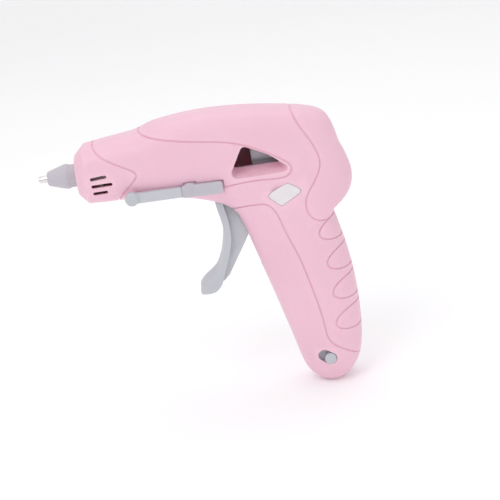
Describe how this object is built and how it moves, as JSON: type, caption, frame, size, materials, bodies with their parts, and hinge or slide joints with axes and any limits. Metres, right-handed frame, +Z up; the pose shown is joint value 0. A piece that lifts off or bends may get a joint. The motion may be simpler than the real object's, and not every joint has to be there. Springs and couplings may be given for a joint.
{
  "type": "cordless glue gun",
  "caption": "Pistol-form cordless mini glue gun with a trigger feed, a shrouded hot nozzle, a viewing window and a swing-out stand.",
  "frame": {"origin": "centre of the stick inlet collar's mouth, on the axis that the stick, the melt chamber and the nozzle share", "axes": "+X backwards, out of the stick inlet; -X out of the nozzle; +Z up; the gun's left side faces -Y"},
  "size_m": [0.1523, 0.039, 0.1462],
  "materials": {
    "pink": "satin",
    "chrome": "polished",
    "silicone": "matte",
    "aluminium": "satin",
    "ceramic": "satin",
    "steel": "satin",
    "insulator": "matte",
    "grey": "satin",
    "wrap": "satin",
    "board": "satin",
    "black": "matte",
    "led": "clear",
    "lens": "frosted",
    "red_lead": "satin",
    "black_lead": "satin"
  },
  "bodies": {
    "gun": {"left_shell": "pink", "right_shell": "pink", "nozzle_tip": "chrome", "nozzle_sleeve": "silicone", "melt_chamber": "aluminium", "ptc_heater": "ceramic", "heater_clip": "steel", "insulating_ring_front": "insulator", "insulating_ring_rear": "insulator", "inlet_sleeve": "silicone", "inlet_clamp": "steel", "stick_inlet_collar": "grey", "trigger_pin": "steel", "trigger_return_spring": "steel", "battery_cell": "wrap", "battery_tabs": "steel", "control_board": "board", "board_components": "black", "charge_board": "board", "usb_socket": "steel", "slide_switch": "black", "led_board": "board", "led": "led", "indicator_lens": "lens", "case_screws": "steel", "heater_lead_red": "red_lead", "heater_lead_black": "black_lead", "battery_leads": "red_lead"},
    "trigger": {"trigger": "grey", "drive_pin": "steel"},
    "carriage": {"feed_carriage": "grey", "gripper_leaf": "steel", "link_pin": "steel"},
    "link": {"link_arm": "grey"},
    "stand": {"stand_leg_left": "grey", "stand_leg_right": "grey", "stand_axle": "steel", "stand_foot_left": "silicone", "stand_foot_right": "silicone"},
    "switch": {"switch_knob": "grey"}
  },
  "joints": [
    {"name": "trigger_pull", "type": "hinge", "parent": "gun", "child": "trigger", "pos_m": [-0.053, 0, -0.0196], "axis": [0, -1, 0], "range_deg": [0, 20], "stiffness_Nm_per_rad": 0.5, "springref_deg": -17.19, "deforming": ["trigger_return_spring"]},
    {"name": "carriage_feed", "type": "slide", "parent": "gun", "child": "carriage", "axis": [-1, 0, 0], "range_m": [0, 0.0035]},
    {"name": "link_swing", "type": "hinge", "parent": "carriage", "child": "link", "pos_m": [-0.037, 0, -0.0094], "axis": [0, -1, 0], "range_deg": [0, 2.3]},
    {"name": "stand_swing", "type": "hinge", "parent": "gun", "child": "stand", "pos_m": [-0.0993, 0, -0.0111], "axis": [0, 1, 0], "range_deg": [0, 110]},
    {"name": "switch_slide", "type": "slide", "parent": "gun", "child": "switch", "axis": [-0.829, 0, 0.5592], "range_m": [0, 0.0034]}
  ],
  "couplings": [
    {"joint": "carriage_feed", "follows": "trigger_pull", "m_per_rad": 0.01},
    {"joint": "link_swing", "follows": "trigger_pull", "ratio": 0.11}
  ]
}
